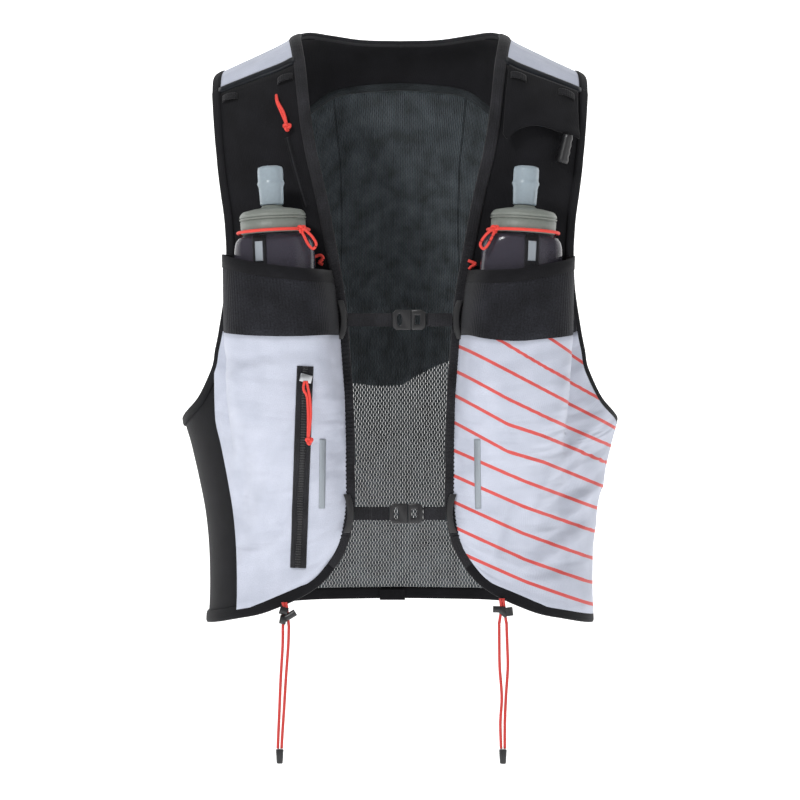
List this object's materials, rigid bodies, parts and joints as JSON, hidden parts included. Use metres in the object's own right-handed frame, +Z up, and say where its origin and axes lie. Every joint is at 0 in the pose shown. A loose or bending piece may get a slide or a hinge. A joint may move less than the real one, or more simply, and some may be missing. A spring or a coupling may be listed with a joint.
{
  "type": "running hydration vest with two soft flasks",
  "caption": "Sleeveless running vest in stretch cloth and net with chest flask holsters, white pockets, sternum straps and hem drawcords, in its worn form.",
  "frame": {"origin": "midway between the shoulders, at the height where the vest hangs on them", "axes": "+Z up along the body, -Y towards the front opening, +X towards the wearer's left"},
  "size_m": [0.3358, 0.2607, 0.5585],
  "materials": {
    "stretch_cloth": "matt black knitted stretch cloth",
    "white_cloth": "light woven ripstop cloth",
    "webbing": "woven black tape",
    "satin_band": "dark satin tape",
    "net": "black warp-knitted net",
    "moulded_plastic": "moulded black acetal",
    "flask_film": "clear smoky film",
    "flask_cap": "moulded grey polypropylene",
    "valve_silicone": "milky silicone",
    "red_cord": "braided red cord",
    "zinc": "plated zinc casting",
    "reflective": "grey reflective film"
  },
  "bodies": {
    "root": {"front_panel_right": "stretch_cloth", "front_panel_left": "stretch_cloth", "holster_right": "stretch_cloth", "holster_left": "stretch_cloth", "side_panel_right": "stretch_cloth", "side_panel_left": "stretch_cloth", "back_yoke": "stretch_cloth", "back_pocket": "stretch_cloth", "shoulder_flap": "stretch_cloth", "hem_tab": "stretch_cloth", "hem_binding": "stretch_cloth", "armhole_binding_right": "stretch_cloth", "armhole_binding_left": "stretch_cloth", "chest_panel_right": "white_cloth", "chest_panel_left": "white_cloth", "shoulder_cap_right": "white_cloth", "shoulder_cap_left": "white_cloth", "front_binding_right": "webbing", "front_binding_left": "webbing", "webbing_upper_right": "webbing", "webbing_upper_left": "webbing", "webbing_lower_right": "webbing", "webbing_lower_left": "webbing", "zip_tape": "webbing", "shoulder_band_right": "satin_band", "shoulder_band_left": "satin_band", "back_net": "net", "back_piping": "net", "hook_upper_right": "moulded_plastic", "hook_upper_left": "moulded_plastic", "hook_lower_right": "moulded_plastic", "hook_lower_left": "moulded_plastic", "buckle_upper_female": "moulded_plastic", "buckle_upper_male": "moulded_plastic", "buckle_lower_female": "moulded_plastic", "buckle_lower_male": "moulded_plastic", "cord_lock_right": "moulded_plastic", "cord_lock_left": "moulded_plastic", "cord_tip_right": "moulded_plastic", "cord_tip_left": "moulded_plastic", "whistle": "moulded_plastic", "flask_right": "flask_film", "flask_left": "flask_film", "flask_cap_right": "flask_cap", "flask_cap_left": "flask_cap", "bite_valve_right": "valve_silicone", "bite_valve_left": "valve_silicone", "flask_cord_right": "red_cord", "flask_cord_left": "red_cord", "drawcord_right_a": "red_cord", "drawcord_right_b": "red_cord", "drawcord_left_a": "red_cord", "drawcord_left_b": "red_cord", "zip_slider": "zinc", "reflective_strip_right": "reflective", "reflective_strip_left": "reflective"}
  },
  "joints": []
}
